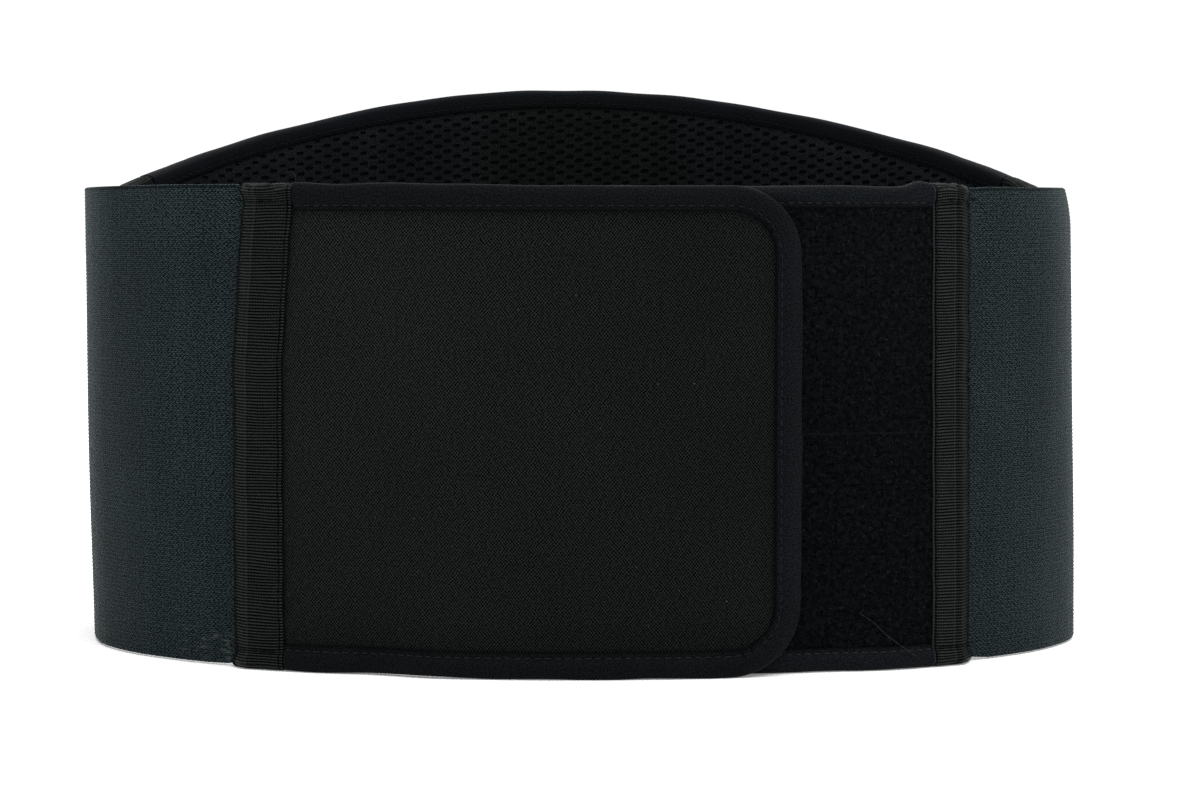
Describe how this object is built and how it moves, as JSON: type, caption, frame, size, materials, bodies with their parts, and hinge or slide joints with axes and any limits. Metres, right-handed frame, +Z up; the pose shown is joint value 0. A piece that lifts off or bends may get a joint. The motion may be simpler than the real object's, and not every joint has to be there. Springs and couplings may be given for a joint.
{
  "type": "kidney belt",
  "caption": "Closed oval waist belt with an arched padded back, ribbed elastic sides and an overlapping hook-and-loop front, worn to warm and support the lower back.",
  "frame": {"origin": "on the floor under the middle of the closed belt's bounding box", "axes": "+Z up from the lower edge that the belt stands on; +X across the belt, to the viewer's right when facing the closed front; -Y out of the front, so the padded back is towards +Y"},
  "size_m": [0.3284, 0.2028, 0.1854],
  "materials": {
    "elastic": "ribbed woven elastic, dark teal grey with a soft sheen",
    "webbing": "ribbed grosgrain tape, black, dull",
    "canvas": "plain woven canvas, olive black, dull",
    "binding": "soft twill binding tape, blue black, dull",
    "loop_pile": "loop fastener pile, black, matt",
    "spacer_mesh": "open knitted spacer mesh, black, matt",
    "hook_nylon": "hook fastener, black, matt"
  },
  "bodies": {
    "root": {"back_panel": "canvas", "front_flap": "canvas", "under_panel": "canvas", "back_lining": "spacer_mesh", "back_binding_upper": "binding", "back_binding_lower": "binding", "flap_binding": "binding", "under_binding": "binding", "elastic_left": "elastic", "elastic_right": "elastic", "tape_front_left": "webbing", "tape_front_right": "webbing", "tape_rear_left": "webbing", "tape_rear_right": "webbing", "loop_strip_1": "loop_pile", "loop_strip_2": "loop_pile", "loop_strip_3": "loop_pile", "loop_strip_4": "loop_pile", "hook_patch": "hook_nylon"}
  },
  "joints": []
}
